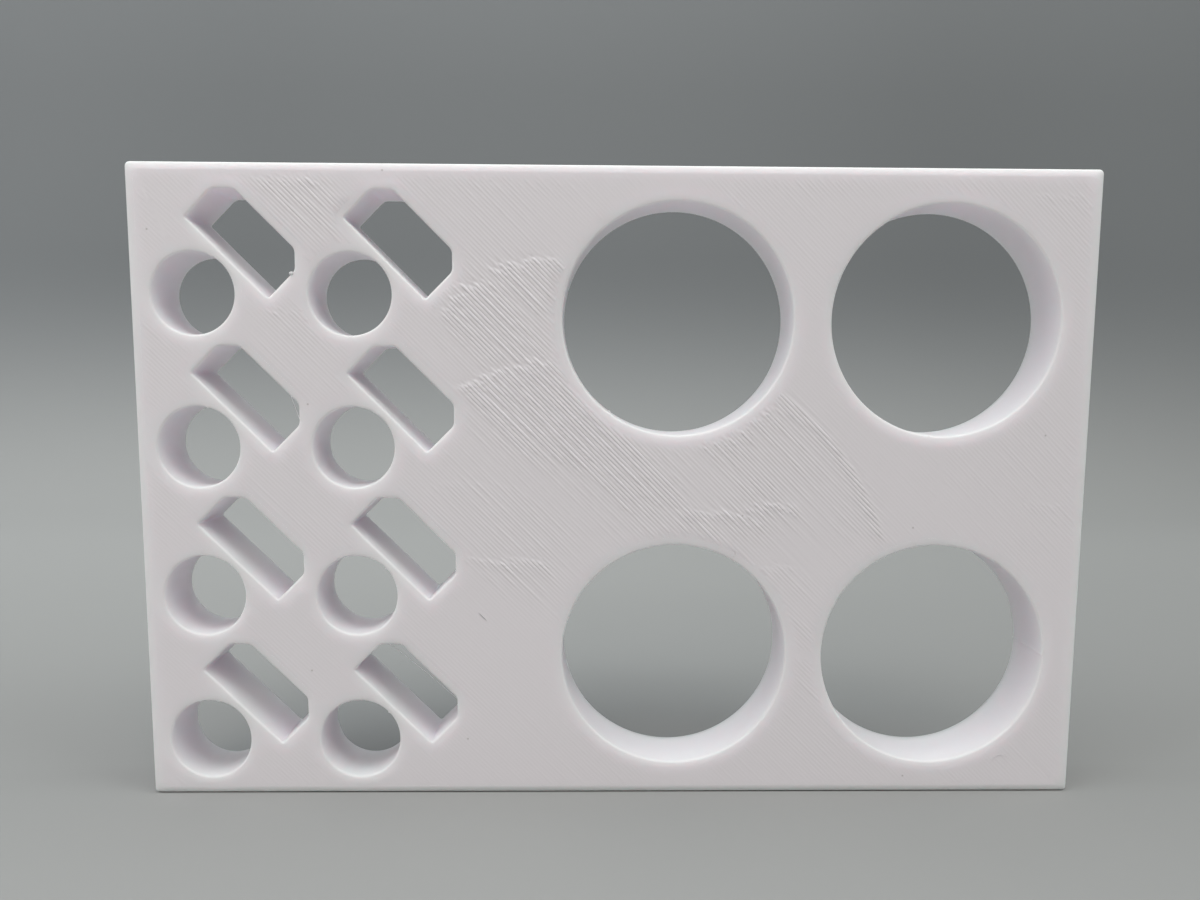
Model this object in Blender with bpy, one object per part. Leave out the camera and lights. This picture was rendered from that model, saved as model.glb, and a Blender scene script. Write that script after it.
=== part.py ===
"""Centrifuge tube rack: one printed plate with round holes for tubes and slots for their open lids.

Metres, +Z up. The plate stands on its long edge. X runs along that edge, Y runs through the thickness
with the front face towards -Y, and the origin is the middle of the bottom edge.
"""
import math

import bmesh
import bpy
from mathutils import Matrix, Vector

# Plate
PLATE_WIDTH = 0.12776
PLATE_HEIGHT = 0.08548
PLATE_THICKNESS = 0.0076
CORNER_RADIUS = 0.0006
EDGE_ROUNDING = 0.0003

# Holes for microtubes, counted from the bottom left corner of the plate
MICROTUBE_HOLE_DIAMETER = 0.0109
MICROTUBE_COLUMNS = 2
MICROTUBE_ROWS = 4
MICROTUBE_PITCH_X = 0.0206
MICROTUBE_PITCH_Z = 0.0203
MICROTUBE_SIDE_MARGIN = 0.0080
MICROTUBE_BOTTOM_MARGIN = 0.00785

# Slot for a microtube's open lid: it lies across a line drawn from the hole's centre at LID_SLOT_ANGLE,
# and its two far corners are cut off
LID_SLOT_LENGTH = 0.0148
LID_SLOT_WIDTH = 0.0071
LID_SLOT_CHAMFER = 0.0020
LID_SLOT_WALL = 0.00107
LID_SLOT_ANGLE = math.radians(45)

# Holes for large conical tubes, counted from the right edge and centred between top and bottom
LARGE_HOLE_DIAMETER = 0.0308
LARGE_HOLE_COLUMNS = 2
LARGE_HOLE_ROWS = 2
LARGE_HOLE_PITCH_X = 0.0359
LARGE_HOLE_PITCH_Z = 0.0458
LARGE_HOLE_SIDE_MARGIN = 0.0199

# Facets
MICROTUBE_HOLE_SEGMENTS = 48
LARGE_HOLE_SEGMENTS = 96
CORNER_SEGMENTS = 4
ROUNDING_SEGMENTS = 2
SHARP_ANGLE = math.radians(30)

# A cutter runs this far past each face of the plate
CUTTER_OVERRUN = 0.001

# Looks
PLASTIC_COLOUR = (0.84, 0.82, 0.85, 1.0)
PLASTIC_ROUGHNESS = 0.55


def clear_scene():
    for old in list(bpy.data.objects):
        bpy.data.objects.remove(old, do_unlink=True)


def add_object(name, mesh):
    obj = bpy.data.objects.new(name, mesh)
    bpy.context.scene.collection.objects.link(obj)
    return obj


def mesh_from(name, bm):
    bmesh.ops.recalc_face_normals(bm, faces=bm.faces)
    mesh = bpy.data.meshes.new(name)
    bm.to_mesh(mesh)
    bm.free()
    return mesh


def plastic_material():
    material = bpy.data.materials.new("white_plastic")
    material.use_nodes = True
    shader = material.node_tree.nodes["Principled BSDF"]
    shader.inputs["Base Color"].default_value = PLASTIC_COLOUR
    shader.inputs["Roughness"].default_value = PLASTIC_ROUGHNESS
    shader.inputs["Metallic"].default_value = 0.0
    return material


def microtube_centres():
    """Centres of the microtube holes, as (x, z)."""
    first_x = -PLATE_WIDTH / 2 + MICROTUBE_SIDE_MARGIN
    for column in range(MICROTUBE_COLUMNS):
        for row in range(MICROTUBE_ROWS):
            x = first_x + column * MICROTUBE_PITCH_X
            z = MICROTUBE_BOTTOM_MARGIN + row * MICROTUBE_PITCH_Z
            yield Vector((x, z))


def large_hole_centres():
    """Centres of the large tube holes, as (x, z)."""
    last_x = PLATE_WIDTH / 2 - LARGE_HOLE_SIDE_MARGIN
    first_z = (PLATE_HEIGHT - (LARGE_HOLE_ROWS - 1) * LARGE_HOLE_PITCH_Z) / 2
    for column in range(LARGE_HOLE_COLUMNS):
        for row in range(LARGE_HOLE_ROWS):
            x = last_x - column * LARGE_HOLE_PITCH_X
            z = first_z + row * LARGE_HOLE_PITCH_Z
            yield Vector((x, z))


def round_outline(centre, diameter, segments):
    """Points of a circle whose facets start at a quarter point, as (x, z)."""
    points = []
    for step in range(segments):
        angle = 2 * math.pi * step / segments
        points.append(centre + Vector((math.cos(angle), math.sin(angle))) * diameter / 2)
    return points


def lid_slot_outline(hole_centre):
    """Points of one lid slot, as (x, z). Its near side faces the microtube hole across a thin wall."""
    outward = Vector((math.cos(LID_SLOT_ANGLE), math.sin(LID_SLOT_ANGLE)))
    along = Vector((math.sin(LID_SLOT_ANGLE), -math.cos(LID_SLOT_ANGLE)))
    near_side = MICROTUBE_HOLE_DIAMETER / 2 + LID_SLOT_WALL
    half = LID_SLOT_LENGTH / 2
    corners = (
        (-half, 0),
        (half, 0),
        (half, LID_SLOT_WIDTH - LID_SLOT_CHAMFER),
        (half - LID_SLOT_CHAMFER, LID_SLOT_WIDTH),
        (-half + LID_SLOT_CHAMFER, LID_SLOT_WIDTH),
        (-half, LID_SLOT_WIDTH - LID_SLOT_CHAMFER),
    )
    return [hole_centre + along * a + outward * (near_side + b) for a, b in corners]


def cutter_object(name, outlines):
    """A guide object with one prism for each outline, running through the plate along Y."""
    reach = PLATE_THICKNESS / 2 + CUTTER_OVERRUN
    bm = bmesh.new()
    for outline in outlines:
        ring = [bm.verts.new((x, -reach, z)) for x, z in outline]
        face = bm.faces.new(ring)
        grown = bmesh.ops.extrude_face_region(bm, geom=[face])
        moved = [item for item in grown["geom"] if isinstance(item, bmesh.types.BMVert)]
        bmesh.ops.translate(bm, vec=(0, 2 * reach, 0), verts=moved)
    cutter = add_object(name, mesh_from(name, bm))
    cutter.hide_render = True
    cutter.display_type = "WIRE"
    return cutter


def plate_blank():
    """The plate before its holes are cut: a block with rounded corners and eased outer edges."""
    bm = bmesh.new()
    bmesh.ops.create_cube(bm, size=1.0)
    bmesh.ops.scale(bm, vec=(PLATE_WIDTH, PLATE_THICKNESS, PLATE_HEIGHT), verts=bm.verts)
    bmesh.ops.translate(bm, vec=(0, 0, PLATE_HEIGHT / 2), verts=bm.verts)
    corner_edges = [edge for edge in bm.edges if edge_runs_through(edge)]
    bmesh.ops.bevel(bm, geom=corner_edges, offset=CORNER_RADIUS, segments=CORNER_SEGMENTS,
                    profile=0.5, affect="EDGES", material=-1)
    rim_edges = [edge for edge in bm.edges if not edge_runs_through(edge)]
    bmesh.ops.bevel(bm, geom=rim_edges, offset=EDGE_ROUNDING, segments=ROUNDING_SEGMENTS,
                    profile=0.5, affect="EDGES", material=-1)
    return mesh_from("rack_plate", bm)


def edge_runs_through(edge):
    """True for an edge that runs through the plate's thickness."""
    first, second = (vert.co for vert in edge.verts)
    return abs(first.y - second.y) > PLATE_THICKNESS / 2


def cut_with(obj, cutter):
    cut = obj.modifiers.new("cut_" + cutter.name, "BOOLEAN")
    cut.operation = "DIFFERENCE"
    cut.solver = "EXACT"
    cut.use_self = True
    cut.object = cutter


def build_rack():
    plate = add_object("rack_plate", plate_blank())
    plate.data.materials.append(plastic_material())
    microtube_outlines = [
        round_outline(centre, MICROTUBE_HOLE_DIAMETER, MICROTUBE_HOLE_SEGMENTS)
        for centre in microtube_centres()
    ]
    lid_slot_outlines = [lid_slot_outline(centre) for centre in microtube_centres()]
    large_outlines = [
        round_outline(centre, LARGE_HOLE_DIAMETER, LARGE_HOLE_SEGMENTS)
        for centre in large_hole_centres()
    ]
    cut_with(plate, cutter_object("microtube_hole_cutter", microtube_outlines))
    cut_with(plate, cutter_object("lid_slot_cutter", lid_slot_outlines))
    cut_with(plate, cutter_object("large_hole_cutter", large_outlines))
    plate.data.shade_smooth()
    plate.data.set_sharp_from_angle(angle=SHARP_ANGLE)
    return plate


clear_scene()
build_rack()
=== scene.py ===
"""The looks of a printed rack for centrifuge tubes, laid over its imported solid.

The rack is one white plate that stands on a long edge. X runs along that edge, Y through the thickness
with the front face towards -Y, and Z up. Shapes are worked out in millimetres and scaled to metres last.
"""

import math
from typing import NamedTuple

import bmesh
import bpy
import numpy as np
from mathutils import Euler, Matrix, Vector, noise
from mathutils.geometry import interpolate_bezier


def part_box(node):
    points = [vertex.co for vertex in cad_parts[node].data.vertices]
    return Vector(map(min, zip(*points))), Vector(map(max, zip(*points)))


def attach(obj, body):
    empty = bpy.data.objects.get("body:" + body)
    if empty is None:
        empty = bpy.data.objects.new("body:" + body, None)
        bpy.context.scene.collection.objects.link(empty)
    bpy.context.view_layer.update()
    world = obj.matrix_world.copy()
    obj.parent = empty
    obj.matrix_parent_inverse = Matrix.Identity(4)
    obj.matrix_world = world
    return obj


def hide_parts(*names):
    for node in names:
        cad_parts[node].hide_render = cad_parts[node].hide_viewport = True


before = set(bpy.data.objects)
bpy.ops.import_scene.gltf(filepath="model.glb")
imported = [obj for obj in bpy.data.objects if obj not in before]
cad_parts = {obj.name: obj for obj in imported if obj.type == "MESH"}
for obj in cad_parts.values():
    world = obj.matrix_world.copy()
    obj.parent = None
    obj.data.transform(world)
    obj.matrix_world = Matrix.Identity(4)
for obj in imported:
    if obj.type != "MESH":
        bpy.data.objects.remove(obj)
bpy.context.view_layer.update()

MM = 0.001

# The plate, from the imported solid
LOW, HIGH = (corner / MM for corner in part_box("rack_plate"))
HALF_THICKNESS = (HIGH.y - LOW.y) / 2
CORNER_RADIUS = 0.6
OUTLINE_ROUNDING = 0.14
TOP_ROUNDING = 0.3
BED_ROUNDING = 0.12
RIM_STEPS = 4
CORNER_STEPS = 4
SHARP_ANGLE = math.radians(40)

# Holes for microtubes, counted from the bottom left corner of the plate
MICROTUBE_RADIUS = 5.45
MICROTUBE_FIRST = Vector((LOW.x + 8.0, 7.85))
MICROTUBE_PITCH = Vector((20.6, 20.3))
MICROTUBE_COLUMNS = 2
MICROTUBE_ROWS = 4
MICROTUBE_SEGMENTS = 64

# Slots for the microtubes' open lids
LID_SLOT_LENGTH = 14.8
LID_SLOT_WIDTH = 7.1
LID_SLOT_CHAMFER = 2.0
LID_SLOT_WALL = 1.07
LID_SLOT_CORNER = 0.3
LID_SLOT_BLUNT_CORNER = 1.3

# Holes for large conical tubes, counted from the bottom right corner of the plate
LARGE_RADIUS = 15.4
LARGE_FIRST = Vector((HIGH.x - 19.9, 19.84))
LARGE_PITCH = Vector((-35.9, 45.8))
LARGE_COLUMNS = 2
LARGE_ROWS = 2
LARGE_SEGMENTS = 128

# Seams where each layer's loop begins and ends: the angle round the hole, in degrees, by column and row
MICROTUBE_SEAMS = {(0, 3): 62.7, (0, 2): 76.7, (0, 0): 78.0, (1, 1): 43.0, (1, 0): 43.0}
LARGE_SEAMS = {(1, 1): 234.6, (0, 1): 263.5, (0, 0): 0.0}
SEAM_HEIGHT = 0.12
SEAM_WIDTH = 0.18
SEAM_POINTS = (-1.5, -0.7, 0, 0.7, 1.5)

# Layers are stacked along Y. Loops of bead run round every edge, and straight beads fill the skin between
LAYER_HEIGHT = 0.2
LAYER_GROOVE = 0.012
LOOP_BAND = 1.0
BEAD_PITCH = 0.457
SKIN_RECESS = 0.02
LEVEL_TOLERANCE = SKIN_RECESS / 4
GROOVE_LEVEL = 0.016

# The bottom wall's middle layers stand on the floor, and those near both faces clear it by a hair
FLOOR_GAP = 0.14
FLOOR_GAP_DEPTH = 1.2

# The top edge glows more weakly and further in than the openings' rims, so it counts as a gap of its own
TOP_EDGE_GAP = 1.45
TOP_EDGE_SPREAD = 0.3

# A cutter runs this far past what it cuts. It flares over a short rise past the face, by a growth that goes
# beyond the rim, both in shares of the rim's rounding. Corners closer than the merge distance become one
OVERRUN = 1.0
FLARE_RISE = 1 / 12
FLARE_GROWTH = 1.25
MERGE_DISTANCE = 1e-5


class Skin(NamedTuple):
    """One broad face's field of straight beads: which way they run, and how finely they are modelled."""
    side: int
    across: Vector
    along: Vector
    cuts_per_bead: int
    cut_spacing: float


TOP_SKIN = Skin(-1, Vector((1, 0, 1)).normalized(), Vector((1, 0, -1)).normalized(), 4, 1.0)
BED_SKIN = Skin(1, Vector((1, 0, -1)).normalized(), Vector((1, 0, 1)).normalized(), 3, 6.0)


class ProudBeads(NamedTuple):
    """A run of beads that stand proud: where they start, (x, z), how far they reach, how high they are,
    and how much lower every second one is."""
    starts: tuple
    reach: float
    height: float
    pairing: float


PROUD_BEADS = (
    ProudBeads(((-23.7, 66.3), (-20.2, 69.5), (-17.5, 70.6)), 7.0, 0.090, 0.35),
    ProudBeads(((-16.5, 71.8), (-14.7, 72.5), (-10.3, 73.5), (-8.2, 73.2)), 7.0, 0.115, 0.5),
    ProudBeads(((-24.0, 69.6), (-17.0, 69.8)), 6.0, 0.035, 0.2),
    ProudBeads(((-21.2, 56.8), (-17.3, 58.0)), 9.0, 0.118, 0.3),
    ProudBeads(((-17.0, 58.0), (-14.0, 58.8), (-11.5, 59.8), (-9.3, 60.0)), 30.0, 0.100, 0.25),
    ProudBeads(((8.8, 39.7), (17.7, 39.5), (19.5, 40.7), (24.0, 40.5)), 3.2, 0.070, 0.3),
    ProudBeads(((11.3, 48.5), (16.0, 50.6), (22.0, 54.7)), 7.0, 0.062, 0.3),
    ProudBeads(((-24.7, 43.8), (-13.9, 43.5)), 6.0, 0.010, 0.3),
    ProudBeads(((-19.7, 33.0), (-9.7, 33.0)), 4.0, 0.052, 0.3),
    ProudBeads(((-27.0, 83.0), (-5.5, 83.0)), 9.0, 0.006, 0.3),
    ProudBeads(((-48.0, 83.4), (-38.0, 83.4)), 9.0, 0.036, 0.3),
    ProudBeads(((-47.0, 66.5), (-39.0, 66.5)), 8.0, 0.020, 0.3),
    ProudBeads(((55.0, 82.0), (61.0, 82.0)), 7.0, 0.020, 0.2),
    ProudBeads(((56.0, 41.0), (60.5, 41.0)), 4.0, 0.020, 0.2),
    ProudBeads(((19.5, 32.0), (24.5, 32.0)), 4.0, 0.035, 0.3),
)
TALLEST_BEAD = 0.14
DEEPEST_NOTCH = -0.05

# How much the beads of one run differ: how far each start is shifted, and factors on its height and reach
RANDOM_SEED = 7
START_SHIFT = 0.6
HEIGHT_FACTORS = (0.6, 1.25)
REACH_FACTORS = (0.6, 1.5)

# A bead rises over this stretch round its start, and a run fades in and out over its outermost beads
START_SLOPE = (-0.3, 0.2)
FADE_OUTSIDE = 1.0
FADE_INSIDE = 0.5

# Bead heights in the calm parts: the top skin's below and above a band of Z, and the bed skin's. The bed
# skin's beads are pressed flat, so their crests are wider
CALM_HEIGHT = 0.008
UPPER_CALM_HEIGHT = 0.012
CALM_BAND = (26.0, 40.0)
BED_BEAD_HEIGHT = 0.010
BED_CREST_WIDTH = 1.6
CREST_EXPONENT = 0.6

# Soft variations in bead height: how long they are, and how strong
NOISE_GAIN = 1.6
PATCH_LENGTH = 14.0
PATCH_STRENGTH = 0.5
STREAK_LENGTH = 9.0
STREAK_STRENGTH = 0.4
ROUGH_STREAK_STRENGTH = 0.3
RIPPLE_LENGTH = 1.7
RIPPLE_STRENGTH = 0.5


class RoughPatch(NamedTuple):
    """A part of the top skin where every bead shows: its middle, (x, z), its radius, and the height."""
    middle: tuple
    radius: float
    height: float


ROUGH_PATCHES = (
    RoughPatch((-15.0, 66.0), 7.5, 0.028),
    RoughPatch((-12.0, 53.5), 6.5, 0.032),
    RoughPatch((-4.0, 50.0), 4.5, 0.036),
    RoughPatch((4.0, 45.5), 5.0, 0.028),
    RoughPatch((14.0, 44.0), 7.0, 0.013),
    RoughPatch((27.0, 48.5), 6.0, 0.012),
    RoughPatch((18.0, 40.5), 4.0, 0.018),
    RoughPatch((33.0, 40.0), 3.5, 0.016),
    RoughPatch((-20.0, 41.0), 6.0, 0.005),
    RoughPatch((-13.0, 36.0), 6.0, 0.014),
    RoughPatch((-14.0, 77.5), 5.0, 0.003),
    RoughPatch((-41.0, 79.0), 5.0, 0.026),
    RoughPatch((-43.0, 64.0), 4.0, 0.010),
    RoughPatch((25.0, 35.0), 4.0, -0.016),
)
ROUGH_PATCH_EDGE = (0.5, 1.5)

# The seam down the top skin, as (x, z). Beads stand proud on its left and lie flat on its right
SKIN_SEAM = ((22.0, 56.7), (25.6, 53.6), (29.8, 49.6), (33.2, 44.6), (35.4, 40.4), (36.6, 36.9))
SEAM_BEAD_HEIGHT = 0.062
SEAM_BEAD_REACH = 0.9
SEAM_NOTCH = 0.05
SEAM_NOTCH_WIDTH = 0.25
SEAM_FLATTENING = 0.5
SEAM_FLAT_START = (0.0, 0.8)
SEAM_FLAT_END = (9.0, 12.0)
SEAM_FADE_IN = (-2.0, 1.0)
SEAM_FADE_OUT = (-0.5, 1.0)

# A bead that starts proud leaves a notch and then knots, so the skin is cut more finely there: from before
# the start to past it, and a little to either side
KNOT_LENGTH = 0.9
KNOT_PITCH = 0.75
KNOT_STRENGTH = 0.75
NOTCH_LENGTH = 0.45
NOTCH_STRENGTH = 0.5
FINE_CUT_SPACING = 0.25
FINE_CUT_REACH = (-1.0, 2.2)
FINE_CUT_MARGIN = 0.5


class PrintString(NamedTuple):
    """A fine string of plastic: its two ends with a handle each, as (x, y, z), and its radius."""
    start: tuple
    first_handle: tuple
    second_handle: tuple
    end: tuple
    radius: float


PRINT_STRINGS = {
    "string_in_upper_slot": PrintString(
        (-43.65, -3.2, 55.5), (-43.3, -3.6, 54.6), (-42.6, -3.7, 53.0), (-42.3, -3.3, 51.5), 0.045),
    "string_in_lower_slot": PrintString(
        (-31.3, -2.9, 21.1), (-29.6, -3.6, 20.2), (-25.8, -3.7, 17.2), (-21.8, -3.2, 13.2), 0.05),
    "curl_by_large_hole": PrintString(
        (15.6, -3.81, 34.6), (16.4, -3.83, 34.6), (16.6, -3.83, 33.9), (16.0, -3.81, 33.6), 0.025),
    "curl_at_lower_right": PrintString(
        (53.0, -3.81, 4.2), (53.4, -3.83, 5.4), (54.6, -3.83, 5.7), (55.4, -3.81, 4.9), 0.02),
    "ridge_by_second_column": PrintString(
        (-18.7, -3.81, 25.7), (-18.4, -3.83, 25.4), (-18.0, -3.83, 25.0), (-17.7, -3.81, 24.7), 0.04),
}
STRING_POINTS = 14
STRING_SIDES = 8
STRING_TAPER = 0.4

# The lump where a slot's loops of bead begin
PRINT_BLOB = Vector((-42.84, -3.72, 71.34))
PRINT_BLOB_SIZE = (0.3, 0.22, 0.24)
PRINT_BLOB_UNEVENNESS = 0.25
PRINT_BLOB_LUMPS = 1.6

# Small dark specks in the plastic, as (x, z)
SPECKS = (
    (-61.4, 76.9), (-41.2, 54.2), (-41.7, 17.6), (-30.7, 84.6), (-20.4, 7.8),
    (17.2, 39.3), (40.6, 37.7), (40.6, 2.3), (58.1, 50.4),
)
SPECK_RADIUS = 0.22
SPECK_STRENGTH = 0.6

# The plastic: its colours and roughness, its fine grain and broad clouds in waves per metre, how far light
# spreads in it and how much further in each colour, and where, counted from a rim, its glow fades out
PLASTIC_TONES = ((0.875, 0.838, 0.885, 1), (0.89, 0.853, 0.90, 1))
SPECK_COLOUR = (0.4, 0.37, 0.37, 1)
PLASTIC_ROUGHNESS = 0.5
ROUGHNESS_CHANGE = 0.12
GRAIN_SCALE = 2500.0
GRAIN_DEPTH = 0.004
CLOUD_SCALE = 60.0
GLOW_DEPTH = 3.0
GLOW_TINT = (1.1, 0.95, 0.97)
GLOW_FADE = (0.8, 2.4)


# Mesh helpers

def add_object(name, bm):
    mesh = bpy.data.meshes.new(name)
    bm.to_mesh(mesh)
    bm.free()
    obj = bpy.data.objects.new(name, mesh)
    bpy.context.scene.collection.objects.link(obj)
    return obj


def ring(bm, points, y):
    """A closed loop of edges through points (x, z) at depth y."""
    verts = [bm.verts.new((x, y, z)) for x, z in points]
    return [bm.edges.new(pair) for pair in zip(verts, verts[1:] + verts[:1])]


def stack(bm, outline, levels):
    """A closed solid through outline(grow) at each level, which is a depth and a growth."""
    rings = [ring(bm, outline(grow), y) for y, grow in levels]
    for lower, upper in zip(rings, rings[1:]):
        bmesh.ops.bridge_loops(bm, edges=lower + upper)
    for end in (rings[0], rings[-1]):
        bmesh.ops.contextual_create(bm, geom=end)


def stacked_object(name, outlines, levels):
    bm = bmesh.new()
    for outline in outlines:
        stack(bm, outline, levels)
    bmesh.ops.recalc_face_normals(bm, faces=bm.faces)
    return add_object(name, bm)


def cut_away(obj, cutter):
    """Subtracts the cutter from the object, for good, and removes it."""
    cut = obj.modifiers.new("cut", "BOOLEAN")
    cut.operation = "DIFFERENCE"
    cut.solver = "EXACT"
    cut.object = cutter
    graph = bpy.context.evaluated_depsgraph_get()
    mesh = bpy.data.meshes.new_from_object(obj.evaluated_get(graph))
    obj.modifiers.clear()
    obj.data = mesh
    bpy.data.objects.remove(cutter)


def slice_faces(bm, faces, normal, spacing):
    """Cuts flat faces along evenly spaced parallel planes, and returns all their pieces."""
    def start(face):
        return min(vert.co.dot(normal) for vert in face.verts)

    waiting = sorted(faces, key=start, reverse=True)
    last = max(vert.co.dot(normal) for face in faces for vert in face.verts)
    crossed = []
    done = []
    position = math.ceil(start(waiting[-1]) / spacing) * spacing
    while position < last:
        while waiting and start(waiting[-1]) < position:
            crossed.append(waiting.pop())
        edges = list({edge for face in crossed for edge in face.edges})
        cut = bmesh.ops.bisect_plane(bm, geom=crossed + edges, dist=MERGE_DISTANCE,
                                     plane_co=normal * position, plane_no=normal)
        pieces = [item for item in cut["geom"] if isinstance(item, bmesh.types.BMFace)]
        crossed = [face for face in pieces if face.calc_center_median().dot(normal) > position]
        done += [face for face in pieces if face.calc_center_median().dot(normal) <= position]
        position += spacing
    return done + crossed + waiting


def between(low, high, value):
    """A smooth step from 0 at low to 1 at high."""
    share = np.clip((value - low) / (high - low), 0, 1)
    return share * share * (3 - 2 * share)


# Outlines on the plate, as points (x, z)

def rounded_outline(corners, radius, grow, blunt_radius=0.0):
    """Points round a polygon with rounded corners, grown outwards. Its corners run counter-clockwise.
    Corners that turn by less than 60 degrees get the blunt radius."""
    points = []
    for i, corner in enumerate(corners):
        arriving = (corner - corners[i - 1]).normalized()
        leaving = (corners[(i + 1) % len(corners)] - corner).normalized()
        first = Vector((arriving.y, -arriving.x))
        last = Vector((leaving.y, -leaving.x))
        turn = first.angle(last)
        round_by = blunt_radius if turn < math.pi / 3 else radius
        middle = corner - (first + last).normalized() * round_by / math.cos(turn / 2)
        for step in range(CORNER_STEPS + 1):
            share = step / CORNER_STEPS
            spoke = first * math.sin((1 - share) * turn) + last * math.sin(share * turn)
            points.append(middle + spoke * (round_by + grow) / math.sin(turn))
    return points


def turn_between(first, second):
    """The smaller angle between two directions."""
    return abs((first - second + math.pi) % (2 * math.pi) - math.pi)


def round_outline(centre, radius, grow, segments, seam=None):
    """Points round a circle, with a ridge at the seam's angle where the loops of bead start."""
    angles = [2 * math.pi * step / segments for step in range(segments)]
    if seam is not None:
        seam = math.radians(seam)
        half_step = math.pi / segments
        angles = [angle for angle in angles if turn_between(angle, seam) > half_step]
        angles += [seam + offset * SEAM_WIDTH / radius for offset in SEAM_POINTS]
        angles.sort()
    points = []
    for angle in angles:
        reach = radius + grow
        if seam is not None:
            away = turn_between(angle, seam) * radius
            reach -= SEAM_HEIGHT * math.exp(-((away / SEAM_WIDTH) ** 2))
        points.append(centre + Vector((math.cos(angle), math.sin(angle))) * reach)
    return points


def plate_outline(inset):
    """A function of growth for the plate's own outline, drawn in by the inset."""
    left, right, bottom, top = LOW.x + inset, HIGH.x - inset, LOW.z + inset, HIGH.z - inset
    corners = [Vector((left, bottom)), Vector((right, bottom)), Vector((right, top)), Vector((left, top))]
    return lambda grow: rounded_outline(corners, CORNER_RADIUS, grow)


def microtube_places():
    for column in range(MICROTUBE_COLUMNS):
        for row in range(MICROTUBE_ROWS):
            centre = MICROTUBE_FIRST + Vector((column * MICROTUBE_PITCH.x, row * MICROTUBE_PITCH.y))
            yield centre, MICROTUBE_SEAMS.get((column, row))


def large_places():
    for column in range(LARGE_COLUMNS):
        for row in range(LARGE_ROWS):
            centre = LARGE_FIRST + Vector((column * LARGE_PITCH.x, row * LARGE_PITCH.y))
            yield centre, LARGE_SEAMS.get((column, row))


def lid_slot_corners(hole_centre):
    """Corners of one lid slot. Its near side faces the microtube's hole across a thin wall."""
    outward = Vector((1, 1)).normalized()
    along = Vector((1, -1)).normalized()
    near = MICROTUBE_RADIUS + LID_SLOT_WALL
    far = near + LID_SLOT_WIDTH
    half = LID_SLOT_LENGTH / 2
    cut = LID_SLOT_CHAMFER
    shape = ((-half, near), (half, near), (half, far - cut), (half - cut, far), (cut - half, far),
             (-half, far - cut))
    return [hole_centre + along * a + outward * b for a, b in shape]


def opening_outlines():
    """For each kind of opening, one function of growth for each hole or slot."""
    holes, slots, large_holes = [], [], []
    for centre, seam in microtube_places():
        corners = lid_slot_corners(centre)
        holes.append(lambda grow, c=centre, s=seam: round_outline(
            c, MICROTUBE_RADIUS, grow, MICROTUBE_SEGMENTS, s))
        slots.append(lambda grow, c=corners: rounded_outline(
            c, LID_SLOT_CORNER, grow, LID_SLOT_BLUNT_CORNER))
    for centre, seam in large_places():
        large_holes.append(lambda grow, c=centre, s=seam: round_outline(
            c, LARGE_RADIUS, grow, LARGE_SEGMENTS, s))
    return holes, slots, large_holes


# The printed plate

def rim_profile(rounding):
    """Height above the middle and growth up one rounded rim, from the wall to the broad face."""
    profile = []
    for step in range(RIM_STEPS + 1):
        angle = math.pi / 2 * step / RIM_STEPS
        height = HALF_THICKNESS - rounding * (1 - math.sin(angle))
        profile.append((height, rounding * (1 - math.cos(angle))))
    return profile


def through(top_half, bed_half):
    """Levels through the whole thickness, from the top skin to the bed. Each half starts in the middle."""
    return [(-height, grow) for height, grow in reversed(top_half)] + bed_half


def layer_levels(rounding):
    """Levels from the middle to where the rim's rounding starts, with a fine groove between layers."""
    levels = []
    height = LAYER_HEIGHT / 4
    while height < HALF_THICKNESS - rounding - LAYER_HEIGHT / 2:
        levels.append((height, 0.0))
        levels.append((height + LAYER_HEIGHT / 2, -LAYER_GROOVE))
        height += LAYER_HEIGHT
    return levels[:-1]


def plate_blank():
    """The plate before its openings are cut: rounded edges, and a fine groove between layers."""
    halves = []
    for rounding in (OUTLINE_ROUNDING, BED_ROUNDING):
        rim = [(height, -grow) for height, grow in rim_profile(rounding)]
        halves.append(layer_levels(rounding) + rim)
    plate = stacked_object("printed_plate", [plate_outline(0)], through(*halves))
    inner = HALF_THICKNESS - FLOOR_GAP_DEPTH
    outer = HALF_THICKNESS - FLOOR_GAP_DEPTH / 2
    for vert in plate.data.vertices:
        lowest = 1 - between(LOW.z, LOW.z + CORNER_RADIUS, vert.co.z)
        vert.co.z += FLOOR_GAP * between(inner, outer, abs(vert.co.y)) * lowest
    return plate


def cut_openings(plate):
    """Every hole and slot, flared at both ends so that its rims come out rounded."""
    halves = []
    for rounding in (TOP_ROUNDING, BED_ROUNDING):
        flare = [(HALF_THICKNESS / 3, 0.0)] + rim_profile(rounding)[:-1]
        flare.append((HALF_THICKNESS + rounding * FLARE_RISE, rounding * FLARE_GROWTH))
        flare.append((HALF_THICKNESS + OVERRUN, rounding * FLARE_GROWTH))
        halves.append(flare)
    outlines = [outline for kind in opening_outlines() for outline in kind]
    cut_away(plate, stacked_object("opening_cutter", outlines, through(*halves)))


def skin_level(skin):
    """The depth of a recessed field before its beads are raised."""
    return skin.side * (HALF_THICKNESS - SKIN_RECESS)


def recess_skin(plate, skin):
    """Sinks the field of straight beads slightly, clear of the loops round every edge and opening."""
    ends = sorted((skin_level(skin), skin.side * (HALF_THICKNESS + OVERRUN)))
    slab = stacked_object("skin_field", [plate_outline(LOOP_BAND)], [(depth, 0.0) for depth in ends])
    for outlines in opening_outlines():
        clear = [(ends[0] - OVERRUN, LOOP_BAND), (ends[1] + OVERRUN, LOOP_BAND)]
        cut_away(slab, stacked_object("loop_band", outlines, clear))
    cut_away(plate, slab)


def skin_faces(bm, skin):
    return [face for face in bm.faces
            if abs(face.normal.y) > 0.99
            and abs(face.calc_center_median().y - skin_level(skin)) < LEVEL_TOLERANCE]


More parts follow.
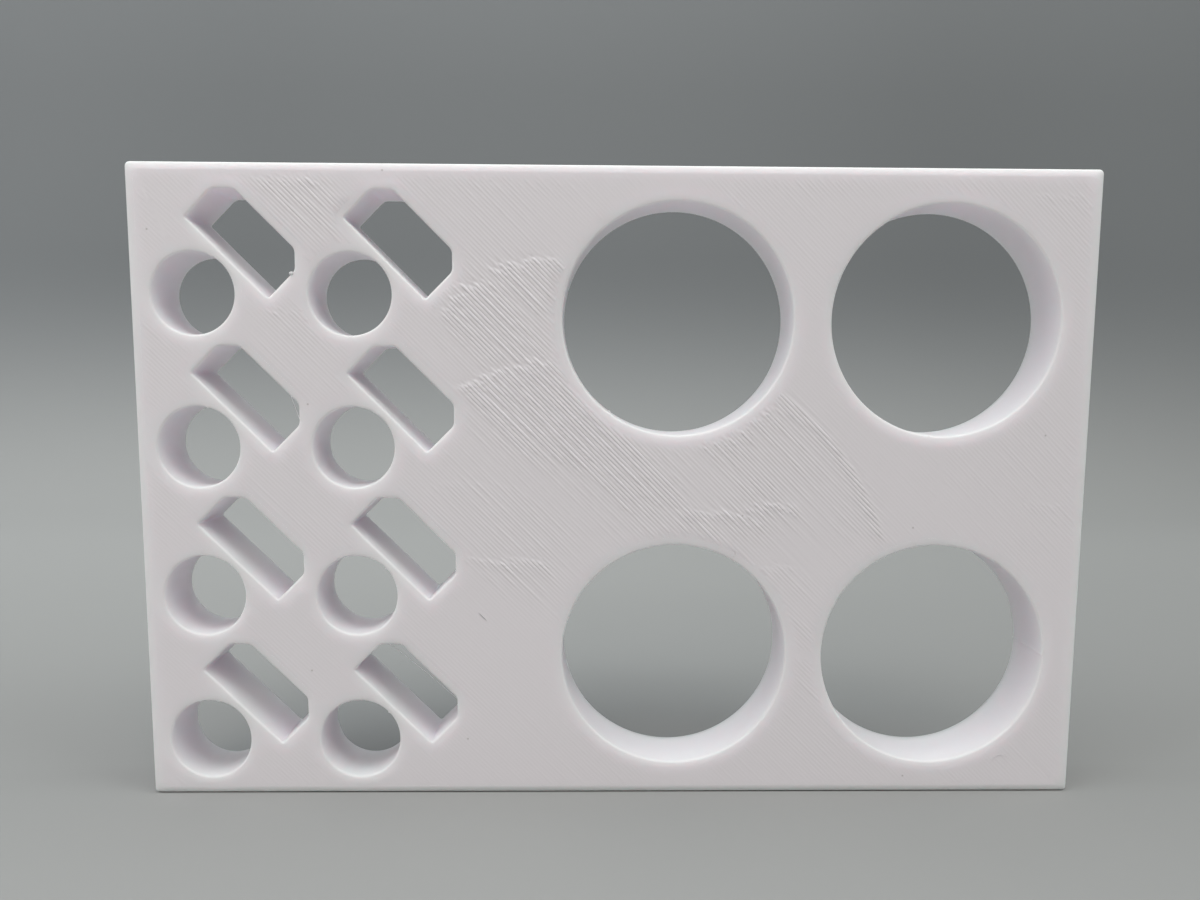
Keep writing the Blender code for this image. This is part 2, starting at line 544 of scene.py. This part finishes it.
def turned(points):
    """Points (x, z) as places across and along the top skin's beads."""
    diagonal = math.sqrt(0.5)
    return [((x + z) * diagonal, (x - z) * diagonal) for x, z in points]


def travelled_from(run, across, along):
    """How far along its bead each point lies from the line where a run of proud beads starts, and where
    that line begins and ends across the beads."""
    starts = sorted(turned(run.starts))
    line = np.interp(across, [s for s, t in starts], [t for s, t in starts])
    return along - line, starts[0][0], starts[-1][0]


def faces_near_starts(faces, skin):
    """Faces close to where a run of proud beads starts."""
    middles = np.array([face.calc_center_median() for face in faces])
    across = middles @ np.array(skin.across)
    along = middles @ np.array(skin.along)
    near = np.zeros(len(faces), bool)
    for run in PROUD_BEADS:
        travelled, first, last = travelled_from(run, across, along)
        in_reach = (travelled > FINE_CUT_REACH[0]) & (travelled < FINE_CUT_REACH[1])
        near |= in_reach & (across > first - FINE_CUT_MARGIN) & (across < last + FINE_CUT_MARGIN)
    return [face for face, chosen in zip(faces, near) if chosen]


def spans_a_bead(edge, skin):
    """True for an edge in the field that runs straight across one bead, from groove to groove."""
    run = edge.verts[1].co - edge.verts[0].co
    flat = all(abs(vert.co.y - skin_level(skin)) < LEVEL_TOLERANCE for vert in edge.verts)
    return flat and abs(run.length / BEAD_PITCH - 1) < 0.02 and abs(run.dot(skin.along)) < BEAD_PITCH / 50


def split_skin(bm, skin):
    """Cuts one field of beads along its grooves, then across them, and last along each bead's top.
    It is cut in a mesh of its own, with the step round it, which takes far less time."""
    field = skin_faces(bm, skin)
    field_verts = {vert for face in field for vert in face.verts}
    step = {face for vert in field_verts for face in vert.link_faces}
    keep = {face.index for face in step}
    part = bm.copy()
    bmesh.ops.delete(part, geom=[face for face in part.faces if face.index not in keep], context="FACES")
    bmesh.ops.delete(bm, geom=list(step), context="FACES")
    pieces = slice_faces(part, skin_faces(part, skin), skin.across, BEAD_PITCH)
    pieces = slice_faces(part, pieces, skin.along, skin.cut_spacing)
    if skin.side < 0:
        slice_faces(part, faces_near_starts(pieces, skin), skin.along, FINE_CUT_SPACING)
    wide = [edge for edge in part.edges if spans_a_bead(edge, skin)]
    bmesh.ops.subdivide_edges(part, edges=wide, cuts=skin.cuts_per_bead - 1)
    mesh = bpy.data.meshes.new("skin_part")
    part.to_mesh(mesh)
    part.free()
    bm.from_mesh(mesh)
    bpy.data.meshes.remove(mesh)


def soft_noise(first, second, seed):
    """Smooth random values, about -1 to 1, at the points that two rows of coordinates give."""
    return np.array([noise.noise(Vector((a, b, seed))) for a, b in zip(first, second)]) * NOISE_GAIN


def proud_height(run, bead, along, across, random):
    """Height that one run of proud beads adds, for points on numbered beads."""
    travelled, first, last = travelled_from(run, across, along)
    numbers = np.arange(bead.min(), bead.max() + 1)
    shift = random.uniform(-START_SHIFT, START_SHIFT, len(numbers))[bead - bead.min()]
    strength = random.uniform(*HEIGHT_FACTORS, len(numbers))[bead - bead.min()]
    phase = random.uniform(0.0, 2 * math.pi, len(numbers))[bead - bead.min()]
    reach = run.reach * random.uniform(*REACH_FACTORS, len(numbers))[bead - bead.min()]
    travelled = travelled - shift
    rise = between(*START_SLOPE, travelled)
    waves = np.sin(2 * math.pi * travelled / KNOT_PITCH + phase)
    knots = waves * np.exp(-((travelled / KNOT_LENGTH / 2) ** 2))
    fall = np.exp(-np.maximum(travelled, 0) / reach)
    fade_in = between(first - FADE_OUTSIDE, first + FADE_INSIDE, across)
    fade_out = 1 - between(last - FADE_INSIDE, last + FADE_OUTSIDE, across)
    lowered = 1 - run.pairing * (bead % 2)
    notch = NOTCH_STRENGTH * np.exp(-(((travelled + NOTCH_LENGTH) / NOTCH_LENGTH) ** 2))
    profile = rise * (fall + KNOT_STRENGTH * knots) - notch
    return run.height * strength * profile * (fade_in * fade_out) * lowered


def seam_height(height, across, along):
    """Raises the beads left of the skin's seam, notches their ends, and lowers the beads on its right."""
    edges = sorted((t, s) for s, t in turned(SKIN_SEAM))
    first, last = edges[0][0], edges[-1][0]
    beyond = across - np.interp(along, [t for t, s in edges], [s for t, s in edges])
    fade_in = between(first + SEAM_FADE_IN[0], first + SEAM_FADE_IN[1], along)
    fade_out = 1 - between(last + SEAM_FADE_OUT[0], last + SEAM_FADE_OUT[1], along)
    proud = SEAM_BEAD_HEIGHT * np.exp(-(((beyond + SEAM_BEAD_REACH) / SEAM_BEAD_REACH) ** 2))
    notch = SEAM_NOTCH * np.exp(-((beyond / SEAM_NOTCH_WIDTH) ** 2))
    flat = 1 - SEAM_FLATTENING * between(*SEAM_FLAT_START, beyond) * (1 - between(*SEAM_FLAT_END, beyond))
    return height * flat + (proud - notch) * (fade_in * fade_out)


def raise_beads(bm, skin):
    """Lifts the skin's corners to the beads' rounded tops."""
    random = np.random.default_rng(RANDOM_SEED + skin.side)
    corners = [vert for vert in bm.verts if abs(vert.co.y - skin_level(skin)) < LEVEL_TOLERANCE]
    inner = np.array([all(abs(face.normal.y) > 0.9 for face in vert.link_faces) for vert in corners])
    x = np.array([vert.co.x for vert in corners])
    z = np.array([vert.co.z for vert in corners])
    across = x * skin.across.x + z * skin.across.z
    along = x * skin.along.x + z * skin.along.z
    bead = np.floor(across / BEAD_PITCH + 0.01).astype(int)
    crest = np.abs(np.sin(np.pi * across / BEAD_PITCH)) ** CREST_EXPONENT
    if skin.side < 0:
        patches = soft_noise(x / PATCH_LENGTH, z / PATCH_LENGTH, 3.0)
        streaks = soft_noise(across / BEAD_PITCH, along / STREAK_LENGTH, 5.0)
        ripples = soft_noise(across / BEAD_PITCH, along / RIPPLE_LENGTH, 9.0)
        calm = CALM_HEIGHT + (UPPER_CALM_HEIGHT - CALM_HEIGHT) * between(*CALM_BAND, z)
        height = calm * (1 + PATCH_STRENGTH * patches + STREAK_STRENGTH * streaks)
        for patch in ROUGH_PATCHES:
            away = np.hypot(x - patch.middle[0], z - patch.middle[1]) / patch.radius
            strength = (1 + ROUGH_STREAK_STRENGTH * streaks) * (1 - between(*ROUGH_PATCH_EDGE, away))
            height = height + patch.height * strength
        for run in PROUD_BEADS:
            height = height + proud_height(run, bead, along, across, random)
        height = seam_height(height, across, along) * (1 + RIPPLE_STRENGTH * ripples)
        height = np.clip(height, DEEPEST_NOTCH, TALLEST_BEAD)
    else:
        height = np.full(len(corners), BED_BEAD_HEIGHT)
        crest = np.minimum(1, crest * BED_CREST_WIDTH)
    rise = np.where(inner, GROOVE_LEVEL + crest * height, GROOVE_LEVEL)
    for vert, lift in zip(corners, rise):
        vert.co.y += skin.side * lift


def gap_to_line(x, z, start, end):
    """Distance of points (x, z) from a straight line between two points."""
    run = end - start
    share = np.clip(((x - start.x) * run.x + (z - start.y) * run.y) / run.length_squared, 0, 1)
    return np.hypot(x - start.x - share * run.x, z - start.y - share * run.y)


def gap_to_rim(x, z):
    """Distance of points (x, z) from the nearest rim that light reaches, which the bottom edge isn't."""
    gaps = [x - LOW.x, HIGH.x - x, TOP_EDGE_GAP + TOP_EDGE_SPREAD * (HIGH.z - z)]
    for centre, seam in microtube_places():
        gaps.append(abs(np.hypot(x - centre.x, z - centre.y) - MICROTUBE_RADIUS))
        corners = lid_slot_corners(centre)
        gaps += [gap_to_line(x, z, start, end) for start, end in zip(corners, corners[1:] + corners[:1])]
    for centre, seam in large_places():
        gaps.append(abs(np.hypot(x - centre.x, z - centre.y) - LARGE_RADIUS))
    return np.min(np.abs(gaps), axis=0)


def store_gaps(mesh):
    """Stores each corner's distance from the nearest rim, in millimetres, for the material to read."""
    spots = np.empty(3 * len(mesh.vertices))
    mesh.vertices.foreach_get("co", spots)
    spots = spots.reshape(-1, 3) / MM
    gaps = mesh.attributes.new("gap_to_rim", "FLOAT", "POINT")
    gaps.data.foreach_set("value", gap_to_rim(spots[:, 0], spots[:, 2]))


def printed_plate():
    plate = plate_blank()
    cut_openings(plate)
    for skin in (TOP_SKIN, BED_SKIN):
        recess_skin(plate, skin)
    bm = bmesh.new()
    bm.from_mesh(plate.data)
    for skin in (TOP_SKIN, BED_SKIN):
        bm.faces.index_update()
        split_skin(bm, skin)
    bmesh.ops.remove_doubles(bm, verts=bm.verts, dist=MERGE_DISTANCE)
    bm.normal_update()
    for skin in (TOP_SKIN, BED_SKIN):
        raise_beads(bm, skin)
    bmesh.ops.scale(bm, vec=(MM, MM, MM), verts=bm.verts)
    bm.to_mesh(plate.data)
    bm.free()
    store_gaps(plate.data)
    plate.data.shade_smooth()
    plate.data.set_sharp_from_angle(angle=SHARP_ANGLE)
    smooth = plate.modifiers.new("face_weighted_shading", "WEIGHTED_NORMAL")
    smooth.keep_sharp = True
    return plate


def print_string(name, shape):
    """A fine thread of plastic along a smooth curve, thickest in its middle."""
    curve = [Vector(point) for point in (shape.start, shape.first_handle, shape.second_handle, shape.end)]
    points = interpolate_bezier(*curve, STRING_POINTS)
    bm = bmesh.new()
    loops = []
    for i, point in enumerate(points):
        ahead = points[min(i + 1, len(points) - 1)] - points[max(i - 1, 0)]
        place = Matrix.Translation(point) @ ahead.to_track_quat("Z", "Y").to_matrix().to_4x4()
        swell = math.sin(math.pi * i / (len(points) - 1))
        thickness = shape.radius * (1 - STRING_TAPER + STRING_TAPER * swell)
        made = bmesh.ops.create_circle(bm, segments=STRING_SIDES, radius=thickness, matrix=place)
        loops.append(list({edge for vert in made["verts"] for edge in vert.link_edges}))
    for lower, upper in zip(loops, loops[1:]):
        bmesh.ops.bridge_loops(bm, edges=lower + upper)
    for end_loop in (loops[0], loops[-1]):
        bmesh.ops.contextual_create(bm, geom=end_loop)
    bmesh.ops.recalc_face_normals(bm, faces=bm.faces)
    bmesh.ops.scale(bm, vec=(MM, MM, MM), verts=bm.verts)
    thread = add_object(name, bm)
    thread.data.shade_smooth()
    return thread


def print_blob():
    """The small lump where a slot's loops of bead begin."""
    bm = bmesh.new()
    bmesh.ops.create_icosphere(bm, subdivisions=3, radius=1.0)
    for vert in bm.verts:
        vert.co *= 1 + PRINT_BLOB_UNEVENNESS * noise.noise(vert.co * PRINT_BLOB_LUMPS)
    bmesh.ops.scale(bm, vec=PRINT_BLOB_SIZE, verts=bm.verts)
    bmesh.ops.translate(bm, vec=PRINT_BLOB, verts=bm.verts)
    bmesh.ops.scale(bm, vec=(MM, MM, MM), verts=bm.verts)
    blob = add_object("blob_at_upper_slot", bm)
    blob.data.shade_smooth()
    return blob


# Shader wiring

class Wire:
    """A node's output socket. Arithmetic on it adds the Math nodes that work it out."""

    def __init__(self, tree, socket):
        self.tree = tree
        self.socket = socket

    def math(self, operation, *values):
        return add_node(self.tree, "Math", {"operation": operation}, dict(enumerate(values)))

    def __add__(self, other):
        return self.math("ADD", self, other)

    def __sub__(self, other):
        return self.math("SUBTRACT", self, other)

    def __rsub__(self, other):
        return self.math("SUBTRACT", other, self)

    def __mul__(self, other):
        return self.math("MULTIPLY", self, other)

    def __abs__(self):
        return self.math("ABSOLUTE", self)

    __radd__ = __add__
    __rmul__ = __mul__


def add_node(tree, kind, settings, values, output=0):
    """Adds a node: its settings first, then a value or a wire for each named or numbered socket."""
    node = tree.nodes.new("ShaderNode" + kind)
    for name, value in settings.items():
        setattr(node, name, value)
    for name, value in values.items():
        if isinstance(value, Wire):
            tree.links.new(value.socket, node.inputs[name])
        else:
            node.inputs[name].default_value = value
    return Wire(tree, node.outputs[output])


def ease(tree, value, span, result):
    """A smooth change from the first result to the second while the value crosses the span."""
    return add_node(tree, "MapRange", {"interpolation_type": "SMOOTHSTEP"}, {
        "Value": value, "From Min": span[0], "From Max": span[1], "To Min": result[0], "To Max": result[1]})


def mix_colours(tree, share, first, second):
    """The first colour where the share is 0, and the second where it is 1."""
    return add_node(tree, "Mix", {"data_type": "RGBA"}, {0: share, 6: first, 7: second}, 2)


def new_material(name):
    material = bpy.data.materials.new(name)
    material.use_nodes = True
    tree = material.node_tree
    return material, tree, tree.nodes["Principled BSDF"]


def white_print_material():
    """White plastic, translucent beside its rims, where light that enters at a bright rim glows through."""
    material, tree, shader = new_material("white_print")
    place = add_node(tree, "TexCoord", {}, {}, "Object")
    grain = add_node(tree, "TexNoise", {}, {
        "Vector": place, "Scale": GRAIN_SCALE, "Detail": 2.0, "Roughness": 0.6})
    cloud = add_node(tree, "TexNoise", {}, {"Vector": place, "Scale": CLOUD_SCALE, "Detail": 2.0})
    tone = mix_colours(tree, cloud, *PLASTIC_TONES)
    specks = 0.0
    for x, z in SPECKS:
        away = add_node(tree, "VectorMath", {"operation": "DISTANCE"},
                        {0: place, 1: (x * MM, LOW.y * MM, z * MM)}, "Value")
        specks = specks + ease(tree, away, (0.0, SPECK_RADIUS * MM), (SPECK_STRENGTH, 0.0))
    tone = mix_colours(tree, specks, tone, SPECK_COLOUR)
    rough = PLASTIC_ROUGHNESS + ROUGHNESS_CHANGE * (grain - 0.5)
    bump = add_node(tree, "Bump", {}, {"Strength": 1.0, "Distance": GRAIN_DEPTH * MM, "Height": grain})
    finish = {"Base Color": tone, "Roughness": rough, "Normal": bump}
    for socket, wire in finish.items():
        tree.links.new(wire.socket, shader.inputs[socket])
    glow = {"Subsurface Weight": 1.0, "Subsurface Scale": GLOW_DEPTH * MM, "Subsurface Radius": GLOW_TINT}
    glowing = add_node(tree, "BsdfPrincipled", {}, {**finish, **glow})
    gap = add_node(tree, "Attribute", {"attribute_name": "gap_to_rim"}, {}, "Fac")
    inward = ease(tree, gap, GLOW_FADE, (0.0, 1.0))
    plain = Wire(tree, shader.outputs[0])
    mixed = add_node(tree, "MixShader", {}, {0: inward, 1: glowing, 2: plain})
    tree.links.new(mixed.socket, tree.nodes["Material Output"].inputs["Surface"])
    return material


# Tones of the paper, with light and shade painted in. On the floor they run from a painted shadow right
# behind the plate to well behind it, and on the wall, which is painted darker than the floor as shade, from
# its middle to its far sides. Then how much darker each gets per metre to the right and how much brighter
# the wall gets per metre upwards, both painted light and shade, the tint on each, and the stretches over
# which the tones change
FLOOR_PAINTED_SHADE_TONES = (0.308, 0.41)
WALL_PAINTED_SHADE_TONES = (0.133, 0.208)
FLOOR_PAINTED_DARKENING = 0.19
WALL_PAINTED_DARKENING = 0.059
WALL_PAINTED_BRIGHTENING = 0.278
FLOOR_TINT = (1.01, 1.0, 0.99, 1)
WALL_TINT = (0.975, 1.0, 1.035, 1)
FLOOR_SPAN = (0.0, 0.2)
WALL_SPAN = (0.2, 0.5)
FLOOR_TO_WALL = (-0.03, 0.14)
SIDE_LIMIT = 0.5
PAPER_ROUGHNESS = 0.8


def paper_material():
    """Grey paper with painted shade: a painted shadow just behind the plate, palest low down further back,
    painted shade darker up the wall, and paler at both far sides.
    """
    material, tree, shader = new_material("grey_paper_painted_shade")
    place = add_node(tree, "TexCoord", {}, {}, "Object")
    x, y, z = (add_node(tree, "SeparateXYZ", {}, {0: place}, axis) for axis in "XYZ")
    across = add_node(tree, "MapRange", {}, {
        "Value": x,
        "From Min": -SIDE_LIMIT, "From Max": SIDE_LIMIT,
        "To Min": -SIDE_LIMIT, "To Max": SIDE_LIMIT})
    # The floor's tone is painted shade: a painted shadow right behind the plate, and darker towards the
    # right
    floor = ease(tree, y, FLOOR_SPAN, FLOOR_PAINTED_SHADE_TONES) - FLOOR_PAINTED_DARKENING * across
    # The wall's tone is painted shade: darker than the floor and in its middle, darker to the right,
    # brighter upwards
    wall = ease(tree, abs(x), WALL_SPAN, WALL_PAINTED_SHADE_TONES) - WALL_PAINTED_DARKENING * across + WALL_PAINTED_BRIGHTENING * z
    height = ease(tree, z, FLOOR_TO_WALL, (0.0, 1.0))
    tone = floor + (wall - floor) * height
    tint = mix_colours(tree, height, FLOOR_TINT, WALL_TINT)
    colour = add_node(tree, "VectorMath", {"operation": "SCALE"}, {0: tint, "Scale": tone})
    tree.links.new(colour.socket, shader.inputs["Base Color"])
    shader.inputs["Roughness"].default_value = PAPER_ROUGHNESS
    return material


# The studio round it, in metres

SWEEP_FRONT = -0.6
SWEEP_BEND_START = 0.20
SWEEP_RADIUS = 0.25
SWEEP_TOP = 1.2
SWEEP_HALF_WIDTH = 1.6
SWEEP_STEPS = 24


class Lamp(NamedTuple):
    """A large rectangular lamp: its place, its width and height, its power in watts, and its colour."""
    place: tuple
    size: tuple
    power: float
    colour: tuple


LAMPS = {
    "overhead_middle": Lamp((0.0, -0.05, 0.65), (0.6, 0.45), 1.62, (0.93, 1.0, 0.99)),
    "overhead_front": Lamp((0.0, -0.35, 0.65), (0.6, 0.45), 1.64, (1.06, 1.0, 0.943)),
    "overhead_back": Lamp((0.0, 0.25, 0.65), (0.6, 0.3), 0.28, (0.93, 1.0, 1.06)),
    "overhead_left": Lamp((-0.45, -0.1, 0.55), (0.4, 0.4), 1.86, (0.93, 1.0, 1.02)),
    "overhead_right": Lamp((0.45, -0.1, 0.55), (0.4, 0.4), 1.97, (0.94, 1.0, 0.98)),
    "front_fill": Lamp((0.0, -0.8, 0.25), (0.8, 0.5), 0.16, (1.06, 1.0, 0.895)),
    "front_left_fill": Lamp((-0.6, -0.6, 0.3), (0.5, 0.5), 0.84, (1.06, 1.0, 0.925)),
    "low_front_fill": Lamp((0.0, -0.5, 0.03), (0.8, 0.1), 0.21, (1.06, 1.0, 0.895)),
}
LAMP_TARGET = Vector((0.0, 0.0, 0.04))

# Beyond the paper, the camera sees this grey. It lights nothing
AIR_COLOUR = (0.2, 0.21, 0.2, 1)

# The camera's place is in metres, its turn in degrees, and its lens and sensor in millimetres
CAMERA_PLACE = (-0.003747, -0.110608, 0.058414)
CAMERA_TURN = (84.547, -0.285, -0.787)
CAMERA_LENS = 23.912
SENSOR_WIDTH = 36.0


def backdrop_sweep():
    """Floor, bend and wall in one curved sheet, made by drawing its section along X."""
    bm = bmesh.new()
    section = [(SWEEP_FRONT, 0), (SWEEP_BEND_START, 0)]
    for step in range(1, SWEEP_STEPS + 1):
        angle = math.pi / 2 * step / SWEEP_STEPS
        height = SWEEP_RADIUS * (1 - math.cos(angle))
        section.append((SWEEP_BEND_START + SWEEP_RADIUS * math.sin(angle), height))
    section.append((SWEEP_BEND_START + SWEEP_RADIUS, SWEEP_TOP))
    verts = [bm.verts.new((-SWEEP_HALF_WIDTH, y, z)) for y, z in section]
    edges = [bm.edges.new(pair) for pair in zip(verts, verts[1:])]
    drawn = bmesh.ops.extrude_edge_only(bm, edges=edges)
    moved = [item for item in drawn["geom"] if isinstance(item, bmesh.types.BMVert)]
    bmesh.ops.translate(bm, vec=(2 * SWEEP_HALF_WIDTH, 0, 0), verts=moved)
    bmesh.ops.recalc_face_normals(bm, faces=bm.faces)
    if sum(face.normal.z for face in bm.faces) < 0:
        bmesh.ops.reverse_faces(bm, faces=bm.faces)
    sweep = add_object("backdrop_sweep", bm)
    sweep.data.shade_smooth()
    sweep.data.materials.append(paper_material())


def hang_lamp(name, lamp):
    """Places one lamp, aimed near the middle of the plate."""
    data = bpy.data.lights.new(name, "AREA")
    data.shape = "RECTANGLE"
    data.size, data.size_y = lamp.size
    data.energy = lamp.power
    data.color = lamp.colour
    obj = bpy.data.objects.new(name, data)
    obj.location = lamp.place
    obj.rotation_euler = (LAMP_TARGET - Vector(lamp.place)).to_track_quat("-Z", "Y").to_euler()
    obj.visible_camera = False
    bpy.context.scene.collection.objects.link(obj)


def fill_air():
    world = bpy.data.worlds.new("studio_air")
    world.use_nodes = True
    background = world.node_tree.nodes["Background"]
    background.inputs["Color"].default_value = AIR_COLOUR
    light_path = world.node_tree.nodes.new("ShaderNodeLightPath")
    world.node_tree.links.new(light_path.outputs["Is Camera Ray"], background.inputs["Strength"])
    bpy.context.scene.world = world


def aim_camera():
    """The photograph's viewpoint: close, a little above the plate's middle, tilted down about 5 degrees."""
    data = bpy.data.cameras.new("camera")
    data.sensor_width = SENSOR_WIDTH
    data.lens = CAMERA_LENS
    data.clip_start = 0.01
    data.clip_end = 10.0
    camera = bpy.data.objects.new("camera", data)
    camera.location = CAMERA_PLACE
    camera.rotation_euler = Euler([math.radians(turn) for turn in CAMERA_TURN])
    bpy.context.scene.collection.objects.link(camera)
    bpy.context.scene.camera = camera


white_print = white_print_material()
plate = printed_plate()
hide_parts("rack_plate")
strings = [print_string(name, shape) for name, shape in PRINT_STRINGS.items()]
for piece in [plate, print_blob(), *strings]:
    piece.data.materials.clear()
    piece.data.materials.append(white_print)
    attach(piece, "root")

backdrop_sweep()
for name, lamp in LAMPS.items():
    hang_lamp(name, lamp)
fill_air()
aim_camera()
bpy.context.scene.view_settings.view_transform = "Standard"
